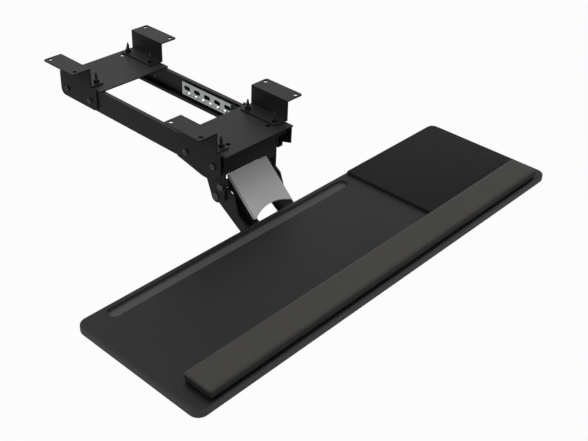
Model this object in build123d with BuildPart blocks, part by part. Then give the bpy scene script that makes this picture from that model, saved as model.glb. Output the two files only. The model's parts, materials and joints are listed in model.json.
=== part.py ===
from build123d import *
import math
import os

# Under-desk keyboard tray on a sliding, height-adjusting arm.
# X runs to the user's right, Y away from the user, Z up.
# Z = 0 is the underside of the desk, above the middle of the four brackets.

LEFT = -1
RIGHT = 1
SIDES = {"left": LEFT, "right": RIGHT}

# Clearances and one overrun that serves every cut
running_fit = 0.05 * MM
side_gap = 0.3 * MM
overrun = 1 * MM

# Desk brackets
bracket_length = 67 * MM
bracket_height = 30 * MM
bracket_steel = 2 * MM
bracket_spacing = 253 * MM
bracket_web_reach = 66 * MM
bracket_flange = 30 * MM
bracket_foot = 24 * MM
desk_hole = 6.5 * MM
desk_hole_pitch = 55.5 * MM
desk_hole_edge = 8 * MM
bracket_corner = 3 * MM

# Studs and nuts that hold the brackets to the track plates
stud = 4 * MM
stud_pitch = 50 * MM
stud_inset = 17 * MM
stud_head = 7.6 * MM
stud_head_height = 1.2 * MM
stud_length = 19 * MM
stud_tip_length = 5 * MM
stud_tip = 1.2 * MM
nut_corners = 9 * MM
nut_height = 4.5 * MM
hex_sides = 6

# Track plates
plate_steel = 2 * MM
plate_half_width = 62 * MM
front_plate_ahead = 47.5 * MM
front_plate_behind = 38.5 * MM
rear_plate_ahead = 50.5 * MM
rear_plate_behind = 37.5 * MM
spare_hole = 6.5 * MM
spare_hole_inset = 24 * MM
front_lip = 6 * MM
front_lip_end = 14 * MM

# Side flanges of the track plates
flange_depth = 36 * MM
flange_behind = 6.5 * MM
rear_flange_step = 11 * MM
rear_flange_corner = 9 * MM
front_flange_depth = 46 * MM
front_flange_knee = 15.5 * MM
front_flange_knee_drop = 3 * MM
front_flange_ramp = 47.5 * MM
left_flange_setback = 11 * MM
right_flange_setback = 2 * MM
right_flange_depth = 27 * MM
right_flange_toe = 18 * MM
right_flange_rise = 5 * MM
right_flange_heel = 36 * MM
buffer_window = 5 * MM
buffer_window_inset = 6 * MM
buffer_window_rise = 6 * MM

# Outer slide members
rail_setback = 16 * MM
rail_length = 323 * MM
rail_height = 34.5 * MM
rail_steel = 2 * MM
rail_top_lip = 6 * MM
rail_foot = 9 * MM
rail_curl = 4.5 * MM

# Screws through the flanges into the rails
rail_screw = 4 * MM
rail_screw_head = 8 * MM
rail_screw_head_height = 2.4 * MM
rail_screw_pitch = 52 * MM
rail_screw_shift = 2.5 * MM
rail_screw_drop = 23.5 * MM
socket_across = 3 * MM
socket_depth = 1.2 * MM

# Inner slide members and carriage
slide_length = 90 * MM
slide_height = 25 * MM
slide_drop = 3 * MM
slide_steel = 2 * MM
slide_lip = 2.5 * MM
carriage_half_width = 49 * MM
carriage_steel = 3 * MM
carriage_front_inset = 16.5 * MM
carriage_length = 60 * MM
carriage_drop = 4.5 * MM
carriage_side_depth = 24 * MM
carriage_front_depth = 33 * MM
carriage_lobe_waist = 24 * MM
carriage_screw = 4 * MM
carriage_screw_head = 7 * MM
carriage_screw_head_height = 1.2 * MM
carriage_screw_pitch = 32 * MM
pivot_eye = 9.5 * MM

# Ball retainers and balls
retainer_length = 187 * MM
retainer_height = 20 * MM
retainer_steel = 1 * MM
retainer_start = 8 * MM
window_length = 13 * MM
window_height = 6.5 * MM
window_pitch = 20.8 * MM
window_count = 5
window_drop = 8 * MM
window_end_inset = 10.5 * MM
ball = 6.4 * MM
ball_inset = 4.2 * MM
tooth_length = 2.6 * MM
tooth_width = 1.2 * MM
tooth_shift = 5.5 * MM
tooth_inset = 3.4 * MM
tooth_slant = 45
ball_pitch = 15 * MM
ball_count = 12
top_ball_count = 6

# Travel stops
stop_length = 5 * MM
stop_height = 18 * MM
stop_drop = 8 * MM
buffer_round = 4.6 * MM
buffer_length = 5 * MM

# Arm geometry: four parallel pivots and the tilt axis
arm_length = 100 * MM
arm_slope = 33.5
arm_pivot_inset = 32.5 * MM
arm_pivot_drop = 107.5 * MM
link_pivot_ahead = 8.5 * MM
link_pivot_rise = 17.5 * MM
tilt_axis_ahead = 16.6 * MM
tilt_axis_rise = 7.2 * MM
shaft = 8 * MM
shaft_head = 10.5 * MM
shaft_head_height = 2 * MM
clip_outer = 11 * MM
clip_height = 1.2 * MM

# Lower arm
arm_steel = 3 * MM
arm_half_depth = 8 * MM
arm_foot = 20 * MM
arm_foot_steel = 2.5 * MM
arm_foot_start = 14 * MM
arm_foot_end = 22 * MM
arm_tie_length = 14 * MM
arm_ear_start = 6 * MM
arm_ear_rise = 24 * MM
arm_ear_top = 18 * MM
arm_ear_end = 40 * MM

# Upper link and its cover
link_half_width = 33.5 * MM
link_steel = 2.5 * MM
link_eye = 6.5 * MM
link_belly = 20 * MM
link_belly_start = 14 * MM
link_belly_end = 74 * MM
link_above = 2 * MM
link_web_inset = 6 * MM
cover_half_width = 35 * MM
cover_length = 70 * MM
cover_thickness = 2 * MM
cover_slope = 42.2
cover_top_ahead = 1 * MM
cover_top_rise = 15 * MM
cover_arc = 65 * MM
cover_arc_height = 10.5 * MM
cover_side_depth = 6 * MM

# Head bracket
head_half_width = 40.5 * MM
head_steel = 3 * MM
head_eye = 9 * MM
head_web_length = 13 * MM
head_web_drop = 7 * MM
head_web_behind = 2 * MM

# Tilt lock
knob_round = 22 * MM
knob_length = 16 * MM
knob_gap = 12 * MM
knob_boss = 12 * MM
knob_flutes = 10
knob_flute = 3 * MM

# Tray bracket
tray_plate_length = 150 * MM
tray_plate_half_width = 75 * MM
tray_plate_steel = 2.5 * MM
tray_plate_setback = 7.5 * MM
tray_plate_corner = 8 * MM
ear_half_width = 36.8 * MM
ear_steel = 2.5 * MM
ear_eye = 8 * MM
ear_length = 56 * MM
tray_screw = 4 * MM
tray_screw_head = 8 * MM
tray_screw_head_height = 2 * MM
tray_screw_length = 9 * MM
tray_screw_rows = 3
tray_screw_inset = 12 * MM

# Tray deck
deck_width = 670 * MM
deck_depth = 198 * MM
deck_thickness = 12 * MM
deck_corner = 13 * MM
deck_edge = 3 * MM
deck_over_axis = 15 * MM
deck_axis_inset = 32.5 * MM
trough_length = 410 * MM
trough_width = 17 * MM
trough_depth = 4 * MM
trough_left_inset = 34 * MM
trough_rear_inset = 16 * MM

# Mouse pad and palm rest
pad_width = 201 * MM
pad_thickness = 4 * MM
pad_corner = 10 * MM
pad_right_inset = 8 * MM
rest_depth = 43 * MM
rest_height = 12.5 * MM
rest_left_inset = 21 * MM
rest_right_inset = 22 * MM
rest_front_inset = 3.5 * MM
rest_base = 3 * MM
rest_base_inset = 2.5 * MM
rest_round = 2.5 * MM
rest_crown = 0.6 * MM
rest_pad_gap = 0.6 * MM

# Places worked out from the sizes above
plate_top = -bracket_height
plate_under = plate_top - plate_steel
front_brackets_y = -bracket_spacing / 2
rear_brackets_y = bracket_spacing / 2
front_plate_front = front_brackets_y - front_plate_ahead
front_plate_rear = front_brackets_y + front_plate_behind
rear_plate_front = rear_brackets_y - rear_plate_ahead
rear_plate_rear = rear_brackets_y + rear_plate_behind
flange_inner = plate_half_width - plate_steel
rail_outer = flange_inner
rail_inner = rail_outer - rail_steel
rail_front = front_plate_front + rail_setback
rail_rear = rail_front + rail_length
rail_top = plate_under
rail_bottom = rail_top - rail_height
stud_x = bracket_web_reach - stud_inset
front_screws_y = front_brackets_y + rail_screw_shift
rear_screws_y = rear_brackets_y + rail_screw_shift
rail_screws_z = plate_top - rail_screw_drop
slide_front = rail_front
slide_rear = slide_front + slide_length
slide_top = rail_top - slide_drop
slide_bottom = slide_top - slide_height
carriage_front = front_plate_front + carriage_front_inset
carriage_top = rail_top - carriage_drop
carriage_side_bottom = carriage_top - carriage_side_depth
retainer_front = rail_front + retainer_start
retainer_rear = retainer_front + retainer_length
retainer_top = slide_top - slide_steel - (slide_height - 2 * slide_steel - retainer_height) / 2
retainer_bottom = retainer_top - retainer_height
slide_face = carriage_half_width + slide_steel
ball_x = (slide_face + rail_inner) / 2
screw_head_face = plate_half_width + rail_screw_head_height

arm_y = front_plate_front + arm_pivot_inset
arm_z = -arm_pivot_drop
link_y = arm_y - link_pivot_ahead
link_z = arm_z + link_pivot_rise
run = arm_length * math.cos(math.radians(arm_slope))
fall = arm_length * math.sin(math.radians(arm_slope))
head_y = arm_y - run
head_z = arm_z - fall
open_y = link_y - run
open_z = link_z - fall
tilt_y = open_y - tilt_axis_ahead
tilt_z = open_z + tilt_axis_rise
arm_outer = carriage_half_width - carriage_steel - side_gap
arm_inner = arm_outer - arm_steel
head_inner = head_half_width - head_steel

deck_under = tilt_z + deck_over_axis
deck_top = deck_under + deck_thickness
deck_rear = tilt_y + deck_axis_inset
deck_front = deck_rear - deck_depth
deck_y = (deck_front + deck_rear) / 2
tray_plate_rear = deck_rear - tray_plate_setback
tray_plate_y = tray_plate_rear - tray_plate_length / 2
rest_front = deck_front + rest_front_inset
rest_rear = rest_front + rest_depth
rest_left = -deck_width / 2 + rest_left_inset
rest_right = deck_width / 2 - rest_right_inset
rest_width = rest_right - rest_left
pad_front = rest_rear + rest_pad_gap


def section_plane(y):
    """Vertical plane across the object at y; an extrusion from it comes towards the user."""
    return Plane.XZ.offset(-y)


def side_plane(x):
    """Vertical plane along the object at x; an extrusion from it goes to the right."""
    return Plane.YZ.offset(x)


def inward(side, reach, thickness):
    """Plane from which a plate of this thickness fills the band inside its outer reach."""
    return side_plane(side * (reach - thickness / 2) - thickness / 2)


def along(y, z, distance, lift, slope):
    """Point at a distance down a slope from (y, z), lifted square to the slope."""
    cosine = math.cos(math.radians(slope))
    sine = math.sin(math.radians(slope))
    return (y - distance * cosine - lift * sine, z - distance * sine + lift * cosine)


def save(piece, label):
    """Label a finished piece and write it as its own file."""
    piece.part.label = label
    export_step(piece.part, f"parts/{label}.step")


def desk_bracket(side, y):
    """Z-shaped bracket: top flange outward to the desk, foot inward on the plate."""
    outer = side * bracket_web_reach
    inner = side * (bracket_web_reach - bracket_steel)
    tip = side * (bracket_web_reach - bracket_steel + bracket_flange)
    foot = side * (bracket_web_reach - bracket_foot)
    with BuildPart() as piece:
        with BuildSketch(section_plane(y + bracket_length / 2)):
            with BuildLine():
                Polyline(
                    (inner, 0), (tip, 0), (tip, -bracket_steel), (outer, -bracket_steel),
                    (outer, plate_top), (foot, plate_top), (foot, plate_top + bracket_steel),
                    (inner, plate_top + bracket_steel), close=True,
                )
            make_face()
        extrude(amount=bracket_length)
        upright = piece.edges().filter_by(Axis.Z)
        fillet(upright.group_by(Axis.X)[0], bracket_corner)
        fillet(piece.edges().filter_by(Axis.Z).group_by(Axis.X)[-1], bracket_corner)
        with Locations((tip - side * desk_hole_edge, y, 0)):
            with GridLocations(0, desk_hole_pitch, 1, 2):
                Hole(desk_hole / 2, depth=bracket_steel)
        with Locations((side * stud_x, y, plate_top + bracket_steel)):
            with GridLocations(0, stud_pitch, 1, 2):
                Hole(stud / 2 + running_fit, depth=bracket_steel)
    return piece


def stud_places():
    """The eight places where the brackets are bolted to the plates."""
    for y in (front_brackets_y, rear_brackets_y):
        for side in SIDES.values():
            for end in (-1, 1):
                yield (side * stud_x, y + end * stud_pitch / 2)


def bracket_studs():
    """Eight pointed studs, flat heads under the plates."""
    shank = stud_length - stud_tip_length
    with BuildPart() as piece:
        with BuildSketch(Plane.XY.offset(plate_under)):
            with Locations(*stud_places()):
                Circle(stud_head / 2)
        extrude(amount=-stud_head_height)
        with BuildSketch(Plane.XY.offset(plate_under)):
            with Locations(*stud_places()):
                Circle(stud / 2)
        extrude(amount=shank)
        with Locations(*[(x, y, plate_under + shank) for x, y in stud_places()]):
            Cone(
                stud / 2, stud_tip / 2, stud_tip_length,
                align=(Align.CENTER, Align.CENTER, Align.MIN),
            )
    return piece


def bracket_nuts():
    """Eight hexagon nuts on the studs, seated on the brackets' feet."""
    with BuildPart() as piece:
        with BuildSketch(Plane.XY.offset(plate_top + bracket_steel)):
            with Locations(*stud_places()):
                RegularPolygon(nut_corners / 2, hex_sides)
                Circle(stud / 2 + running_fit, mode=Mode.SUBTRACT)
        extrude(amount=nut_height)
    return piece


def rail_screw_places(y_middle):
    """Two screw places (y, z) on one flange."""
    return [(y_middle + end * rail_screw_pitch / 2, rail_screws_z) for end in (-1, 1)]


def plate_studs_holes(y_middle):
    """Places (x, y) of the stud holes in the plate around y_middle."""
    return [(x, y) for x, y in stud_places() if (y - y_middle) ** 2 < bracket_length**2]


def front_flange_outline(side):
    """Outline (y, z) of a front plate flange; the left one reaches deeper at its front."""
    rear = front_plate_rear + flange_behind
    deep = plate_top - front_flange_depth
    points = [
        (rear, plate_top),
        (rear, plate_top - flange_depth),
        (rear - front_flange_knee, plate_top - flange_depth - front_flange_knee_drop),
        (rear - front_flange_ramp, deep),
    ]
    if side == LEFT:
        front = front_plate_front + left_flange_setback
        return points + [(front, deep), (front, plate_top)]
    front = front_plate_front + right_flange_setback
    shallow = plate_top - right_flange_depth
    return points + [
        (front + right_flange_heel, deep),
        (front + right_flange_toe, shallow - right_flange_rise),
        (front, shallow),
        (front, plate_top),
    ]


def front_plate():
    """Front track plate with two side flanges and a turned-down front lip."""
    length = front_plate_rear - front_plate_front
    with BuildPart() as piece:
        with BuildSketch(Plane.XY.offset(plate_under)):
            with Locations((0, front_plate_front + length / 2)):
                Rectangle(2 * plate_half_width, length)
        extrude(amount=plate_steel)
        for side in SIDES.values():
            with BuildSketch(inward(side, plate_half_width, plate_steel)):
                with BuildLine():
                    Polyline(*front_flange_outline(side), close=True)
                make_face()
            extrude(amount=plate_steel)
        with BuildSketch(section_plane(front_plate_front + plate_steel)):
            with Locations((0, plate_top - front_lip / 2)):
                Rectangle(2 * (plate_half_width - front_lip_end), front_lip)
        extrude(amount=plate_steel)
        add_plate_holes(front_brackets_y, front_screws_y, -1)
        with BuildSketch(inward(LEFT, plate_half_width, plate_steel)):
            with Locations(buffer_place()):
                Circle(buffer_window / 2)
        extrude(amount=plate_steel, mode=Mode.SUBTRACT)
    return piece


def buffer_place():
    """Place (y, z) of the rubber buffer near the lower front corner of the left flange."""
    return (
        front_plate_front + left_flange_setback + buffer_window_inset,
        plate_top - front_flange_depth + buffer_window_rise,
    )


def rear_plate():
    """Rear track plate with two side flanges."""
    length = rear_plate_rear - rear_plate_front
    start = rear_plate_front + rear_flange_step
    stop = rear_plate_rear + flange_behind
    with BuildPart() as piece:
        with BuildSketch(Plane.XY.offset(plate_under)):
            with Locations((0, rear_plate_front + length / 2)):
                Rectangle(2 * plate_half_width, length)
        extrude(amount=plate_steel)
        for side in SIDES.values():
            with BuildSketch(inward(side, plate_half_width, plate_steel)):
                with Locations(((start + stop) / 2, plate_top - flange_depth / 2)):
                    flange = Rectangle(stop - start, flange_depth)
                fillet(flange.vertices().group_by(Axis.Y)[0], rear_flange_corner)
            extrude(amount=plate_steel)
        add_plate_holes(rear_brackets_y, rear_screws_y, 1)
    return piece


def add_plate_holes(y_brackets, y_screws, end):
    """Cut the stud, spare and screw holes of one track plate."""
    spare_x = stud_x - spare_hole_inset / 2
    spare_y = y_brackets + end * stud_pitch / 2
    with BuildSketch(Plane.XY.offset(plate_top)) as holes:
        with Locations(*plate_studs_holes(y_brackets)):
            Circle(stud / 2 + running_fit)
        with Locations(*[(side * spare_x, spare_y) for side in SIDES.values()]):
            Circle(spare_hole / 2)
    extrude(holes.sketch, amount=-plate_steel, mode=Mode.SUBTRACT)
    for side in SIDES.values():
        with BuildSketch(inward(side, plate_half_width, plate_steel)) as holes:
            with Locations(*rail_screw_places(y_screws)):
                Circle(rail_screw / 2 + running_fit)
        extrude(holes.sketch, amount=plate_steel, mode=Mode.SUBTRACT)


def rail(side):
    """Outer slide member: a channel open towards the middle with a curled foot."""
    outer = side * rail_outer
    inner = side * rail_inner
    lip = side * (rail_outer - rail_top_lip)
    foot = side * (rail_outer - rail_foot)
    curl = side * (rail_outer - rail_foot + rail_steel)
    with BuildPart() as piece:
        with BuildSketch(section_plane(rail_rear)):
            with BuildLine():
                Polyline(
                    (outer, rail_top), (lip, rail_top), (lip, rail_top - rail_steel),
                    (inner, rail_top - rail_steel), (inner, rail_bottom + rail_steel),
                    (curl, rail_bottom + rail_steel), (curl, rail_bottom + rail_curl),
                    (foot, rail_bottom + rail_curl), (foot, rail_bottom), (outer, rail_bottom),
                    close=True,
                )
            make_face()
        extrude(amount=rail_length)
        with BuildSketch(inward(side, rail_outer, rail_steel)):
            with Locations(*rail_screw_places(front_screws_y), *rail_screw_places(rear_screws_y)):
                Circle(rail_screw / 2 + running_fit)
        extrude(amount=rail_steel, mode=Mode.SUBTRACT)
    return piece


def rail_screws():
    """Eight socket screws through the flanges into the rails."""
    places = rail_screw_places(front_screws_y) + rail_screw_places(rear_screws_y)
    with BuildPart() as piece:
        for side in SIDES.values():
            with BuildSketch(inward(side, plate_half_width, plate_half_width - rail_inner)):
                with Locations(*places):
                    Circle(rail_screw / 2)
            extrude(amount=plate_half_width - rail_inner)
            with BuildSketch(inward(side, screw_head_face, rail_screw_head_height)):
                with Locations(*places):
                    Circle(rail_screw_head / 2)
            extrude(amount=rail_screw_head_height)
            with BuildSketch(inward(side, screw_head_face, socket_depth)):
                with Locations(*places):
                    RegularPolygon(socket_across / 2, hex_sides)
            extrude(amount=socket_depth, mode=Mode.SUBTRACT)
    return piece


def travel_stops():
    """Two rubber blocks that close the rear ends of the rails."""
    width = rail_inner - slide_face
    with BuildPart() as piece:
        for side in SIDES.values():
            with BuildSketch(section_plane(rail_rear)):
                with Locations((side * (rail_inner - width / 2), rail_top - stop_drop - stop_height / 2)):
                    Rectangle(width, stop_height)
            extrude(amount=stop_length)
    return piece


def flange_buffer():
    """Round rubber buffer pressed into the left front flange."""
    with BuildPart() as piece:
        with BuildSketch(inward(LEFT, plate_half_width + overrun, buffer_length)):
            with Locations(buffer_place()):
                Circle(buffer_round / 2)
        extrude(amount=buffer_length)
    return piece


def carriage_screw_places():
    """Two screw places (y, z) on each side of the carriage."""
    middle = carriage_front + carriage_length / 2
    height = (slide_top + slide_bottom) / 2
    return [(middle + end * carriage_screw_pitch / 2, height) for end in (-1, 1)]


def slide(side):
    """Inner slide member: a flat bar with two outward lips."""
    inner = side * carriage_half_width
    web = side * slide_face
    lip = side * (slide_face + slide_lip)
    with BuildPart() as piece:
        with BuildSketch(section_plane(slide_rear)):
            with BuildLine():
                Polyline(
                    (inner, slide_top), (lip, slide_top), (lip, slide_top - slide_steel),
                    (web, slide_top - slide_steel), (web, slide_bottom + slide_steel),
                    (lip, slide_bottom + slide_steel), (lip, slide_bottom), (inner, slide_bottom),
                    close=True,
                )
            make_face()
        extrude(amount=slide_length)
        with BuildSketch(inward(side, slide_face, slide_steel)):
            with Locations(*carriage_screw_places()):
                Circle(carriage_screw / 2 + running_fit)
        extrude(amount=slide_steel, mode=Mode.SUBTRACT)
    return piece


def carriage():
    """Folded carriage: top web, front wall and two side plates that carry the rear pivots."""
    inner = carriage_half_width - carriage_steel
    rear = carriage_front + carriage_length
    eye_rear = arm_y + pivot_eye
    with BuildPart() as piece:
        with BuildSketch(Plane.XY.offset(carriage_top - carriage_steel)):
            with Locations((0, carriage_front + carriage_length / 2)):
                Rectangle(2 * carriage_half_width, carriage_length)
        extrude(amount=carriage_steel)
        with BuildSketch(section_plane(carriage_front + carriage_steel)):
            with Locations((0, carriage_top - carriage_front_depth / 2)):
                Rectangle(2 * inner, carriage_front_depth)
        extrude(amount=carriage_steel)
        for side in SIDES.values():
            with BuildSketch(inward(side, carriage_half_width, carriage_steel)):
                with BuildLine():
                    Polyline(
                        (carriage_front, carriage_top), (rear, carriage_top),
                        (rear, carriage_side_bottom),
                        (eye_rear + pivot_eye, carriage_side_bottom - carriage_lobe_waist),
                        (eye_rear, arm_z), (arm_y, arm_z - pivot_eye), (carriage_front, arm_z - overrun),
                        close=True,
                    )
                make_face()
                with Locations((arm_y, arm_z)):
                    Circle(pivot_eye)
            extrude(amount=carriage_steel)
            with BuildSketch(inward(side, carriage_half_width, carriage_steel)):
                with Locations((arm_y, arm_z), (link_y, link_z)):
                    Circle(shaft / 2 + running_fit)
                with Locations(*carriage_screw_places()):
                    Circle(carriage_screw / 2 + running_fit)
            extrude(amount=carriage_steel, mode=Mode.SUBTRACT)
    return piece


def carriage_screws():
    """Four low-head screws that join the carriage to the inner slide members."""
    length = slide_face - (carriage_half_width - carriage_steel)
    head_face = carriage_half_width - carriage_steel
    with BuildPart() as piece:
        for side in SIDES.values():
            with BuildSketch(inward(side, slide_face, length)):
                with Locations(*carriage_screw_places()):
                    Circle(carriage_screw / 2)
            extrude(amount=length)
            with BuildSketch(inward(side, head_face, carriage_screw_head_height)):
                with Locations(*carriage_screw_places()):
                    Circle(carriage_screw_head / 2)
            extrude(amount=carriage_screw_head_height)
    return piece


def ball_places():
    """Places (y, z) of the balls of one slide."""
    low = retainer_bottom + ball_inset
    high = retainer_top - ball_inset
    first = retainer_front + ball_pitch / 2
    places = [(first + index * ball_pitch, low) for index in range(ball_count)]
    return places + [(first + index * ball_pitch, high) for index in range(top_ball_count)]


def tooth_places():
    """Places (y, z) of the slanted slots between the lower balls."""
    height = retainer_bottom + tooth_inset
    first = retainer_front + ball_pitch / 2
    middles = [first + index * ball_pitch for index in range(ball_count)]
    return [(middle + end * tooth_shift, height) for middle in middles for end in (-1, 1)]


def retainer(side):
    """Zinc-plated strip that spaces the balls, with a row of oblong windows behind."""
    last = retainer_rear - window_end_inset
    windows = [(last - index * window_pitch, retainer_top - window_drop) for index in range(window_count)]
    with BuildPart() as piece:
        with BuildSketch(inward(side, ball_x + retainer_steel / 2, retainer_steel)):
            with Locations(((retainer_front + retainer_rear) / 2, (retainer_top + retainer_bottom) / 2)):
                Rectangle(retainer_length, retainer_height)
            with Locations(*windows):
                SlotOverall(window_length, window_height, mode=Mode.SUBTRACT)
            with Locations(*ball_places()):
                Circle(ball / 2 + running_fit, mode=Mode.SUBTRACT)
            with Locations(*tooth_places()):
                SlotOverall(tooth_length, tooth_width, rotation=tooth_slant, mode=Mode.SUBTRACT)
        extrude(amount=retainer_steel)
    return piece


def balls(side):
    """Steel balls of one slide."""
    with BuildPart() as piece:
        with Locations(*[(side * ball_x, y, z) for y, z in ball_places()]):
            Sphere(ball / 2)
    return piece


def cross_shaft(y, z, reach):
    """Pivot shaft across the arm, with a rounded head on its left end."""
    with BuildPart() as piece:
        with BuildSketch(side_plane(-reach)):
            with Locations((y, z)):
                Circle(shaft / 2)
        extrude(amount=2 * reach + shaft_head_height + overrun)
        with BuildSketch(side_plane(-reach)):
            with Locations((y, z)):
                Circle(shaft_head / 2)
        extrude(amount=-shaft_head_height)
        fillet(piece.edges().group_by(Axis.X)[0], shaft_head_height / 3)
    return piece


def shaft_clips(places):
    """Retaining rings on the right ends of the shafts, as (y, z, reach) places."""
    with BuildPart() as piece:
        for y, z, reach in places:
            with BuildSketch(side_plane(reach)):
                with Locations((y, z)):
                    Circle(clip_outer / 2)
                    Circle(shaft / 2, mode=Mode.SUBTRACT)
            extrude(amount=clip_height)
    return piece


def lower_arm():
    """Two arm bars with a raised ear and inward feet, tied near the rear pivot."""
    with BuildPart() as piece:
        for side in SIDES.values():
            with BuildSketch(inward(side, arm_outer, arm_steel)):
                with BuildLine():
                    Polyline(
                        along(arm_y, arm_z, 0, arm_half_depth, arm_slope),
                        along(arm_y, arm_z, arm_ear_start, arm_half_depth, arm_slope),
                        along(arm_y, arm_z, arm_ear_start, arm_ear_rise, arm_slope),
                        along(arm_y, arm_z, arm_ear_top, arm_ear_rise, arm_slope),
                        along(arm_y, arm_z, arm_ear_end, arm_half_depth, arm_slope),
                        along(arm_y, arm_z, arm_length, arm_half_depth, arm_slope),
                        along(arm_y, arm_z, arm_length, -arm_half_depth, arm_slope),
                        along(arm_y, arm_z, 0, -arm_half_depth, arm_slope),
                        close=True,
                    )
                make_face()
                with Locations((arm_y, arm_z), (head_y, head_z)):
                    Circle(arm_half_depth)
            extrude(amount=arm_steel)
            with BuildSketch(inward(side, arm_outer, arm_foot)):
                with BuildLine():
                    Polyline(*foot_band(arm_foot_start, arm_length - arm_foot_end), close=True)
                make_face()
            extrude(amount=arm_foot)
        with BuildSketch(side_plane(-arm_inner)):
            with BuildLine():
                Polyline(*foot_band(arm_foot_start, arm_foot_start + arm_tie_length), close=True)
            make_face()
        extrude(amount=2 * arm_inner)
        with BuildSketch(side_plane(-arm_outer)):
            with Locations((arm_y, arm_z), (head_y, head_z)):
                Circle(shaft / 2 + running_fit)
        extrude(amount=2 * arm_outer, mode=Mode.SUBTRACT)
    return piece


def foot_band(start, stop):
    """Corners of a thin band along the arm's lower edge, between two distances from its pivot."""
    low = -arm_half_depth
    high = low + arm_foot_steel
    return [
        along(arm_y, arm_z, start, low, arm_slope),
        along(arm_y, arm_z, stop, low, arm_slope),
        along(arm_y, arm_z, stop, high, arm_slope),
        along(arm_y, arm_z, start, high, arm_slope),
    ]


def cover_point(distance, depth):
    """Point on the cover's slope, at a depth under its face."""
    top = (link_y - cover_top_ahead, link_z + cover_top_rise)
    return along(*top, distance, -depth, cover_slope)


def upper_link():
    """Channel of two link plates joined by a web right under the cover."""
    last = cover_length - cover_arc_height - link_web_inset
    with BuildPart() as piece:
        for side in SIDES.values():
            with BuildSketch(inward(side, link_half_width, link_steel)):
                with BuildLine():
                    Polyline(
                        cover_point(0, cover_thickness),
                        cover_point(cover_length, cover_thickness),
                        along(link_y, link_z, arm_length, link_above, arm_slope),
                        along(link_y, link_z, arm_length, -link_eye, arm_slope),
                        along(link_y, link_z, link_belly_end, -link_belly, arm_slope),
                        along(link_y, link_z, link_belly_start, -link_belly, arm_slope),
                        along(link_y, link_z, link_belly_start, -link_eye, arm_slope),
                        along(link_y, link_z, 0, -link_eye, arm_slope),
                        close=True,
                    )
                make_face()
                with Locations((link_y, link_z), (open_y, open_z)):
                    Circle(link_eye)
            extrude(amount=link_steel)
        with BuildSketch(side_plane(-link_half_width)):
            with BuildLine():
                Polyline(
                    cover_point(link_web_inset, cover_thickness),
                    cover_point(last, cover_thickness),
                    cover_point(last, cover_thickness + link_steel),
                    cover_point(link_web_inset, cover_thickness + link_steel),
                    close=True,
                )
            make_face()
        extrude(amount=2 * link_half_width)
        with BuildSketch(side_plane(-link_half_width)):
            with Locations((link_y, link_z), (open_y, open_z)):
                Circle(shaft / 2 + running_fit)
        extrude(amount=2 * link_half_width, mode=Mode.SUBTRACT)
    return piece


def link_cover():
    """Grey cover on the link: a flat panel with short sides and a round bite at its lower end."""
    top = cover_point(0, 0)
    down = Vector(0, -math.cos(math.radians(cover_slope)), -math.sin(math.radians(cover_slope)))
    face = Plane(origin=(0, *top), x_dir=(1, 0, 0), z_dir=Vector(1, 0, 0).cross(down))
    bite = cover_length - cover_arc_height + cover_arc
    lip = cover_half_width - link_half_width
    side_length = cover_length - cover_thickness
    with BuildPart() as piece:
        with BuildSketch(face):
            with Locations((0, cover_length / 2)):
                Rectangle(2 * cover_half_width, cover_length)
            with Locations((0, bite)):
                Circle(cover_arc, mode=Mode.SUBTRACT)
        extrude(amount=cover_thickness)
        with BuildSketch(face):
            for side in SIDES.values():
                with Locations((side * (cover_half_width - lip / 2), side_length / 2)):
                    Rectangle(lip, side_length)
        extrude(amount=cover_side_depth)
    return piece


def head_bracket():
    """Head at the arm's lower end: two cheeks and a cross web."""
    with BuildPart() as piece:
        for side in SIDES.values():
            with BuildSketch(inward(side, head_half_width, head_steel)):
                with Locations((head_y, head_z), (open_y, open_z), (tilt_y, tilt_z), (tilt_y, head_z)):
                    Circle(head_eye)
                make_hull()
            extrude(amount=head_steel)
        with BuildSketch(Plane.XY.offset(head_z - head_web_drop)):
            with Locations((0, tilt_y + head_web_behind)):
                Rectangle(2 * head_inner, head_web_length)
        extrude(amount=head_steel)
        with BuildSketch(side_plane(-head_half_width)):
            with Locations((head_y, head_z), (open_y, open_z), (tilt_y, tilt_z)):
                Circle(shaft / 2 + running_fit)
        extrude(amount=2 * head_half_width, mode=Mode.SUBTRACT)
    return piece


def tilt_knob():
    """Fluted lock knob on the right end of the tilt shaft."""
    start = head_half_width + knob_gap
    with BuildPart() as piece:
        with BuildSketch(side_plane(start)):
            with Locations((tilt_y, tilt_z)):
                Circle(knob_round / 2)
                with PolarLocations(knob_round / 2, knob_flutes):
                    Circle(knob_flute / 2, mode=Mode.SUBTRACT)
        extrude(amount=knob_length)
        with BuildSketch(side_plane(head_half_width)):
            with Locations((tilt_y, tilt_z)):
                Circle(knob_boss / 2)
        extrude(amount=knob_gap)
        with BuildSketch(side_plane(head_half_width)):
            with Locations((tilt_y, tilt_z)):
                Circle(shaft / 2 + running_fit)
        extrude(amount=knob_gap + knob_length / 2, mode=Mode.SUBTRACT)
    return piece


def tilt_shaft():
    """Tilt shaft: head on the left cheek, threaded end inside the knob."""
    length = 2 * head_half_width + knob_gap + knob_length / 2 - side_gap
    with BuildPart() as piece:
        with BuildSketch(side_plane(-head_half_width)):
            with Locations((tilt_y, tilt_z)):
                Circle(shaft / 2)
        extrude(amount=length)
        with BuildSketch(side_plane(-head_half_width)):
            with Locations((tilt_y, tilt_z)):
                Circle(shaft_head / 2)
        extrude(amount=-shaft_head_height)
    return piece


def tray_screw_places():
    """Six screw places (x, y) in the tray plate."""
    x = tray_plate_half_width - tray_screw_inset
    pitch = (tray_plate_length - 2 * tray_screw_inset) / (tray_screw_rows - 1)
    rows = [tray_plate_rear - tray_screw_inset - row * pitch for row in range(tray_screw_rows)]
    return [(side * x, y) for side in SIDES.values() for y in rows]


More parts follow.
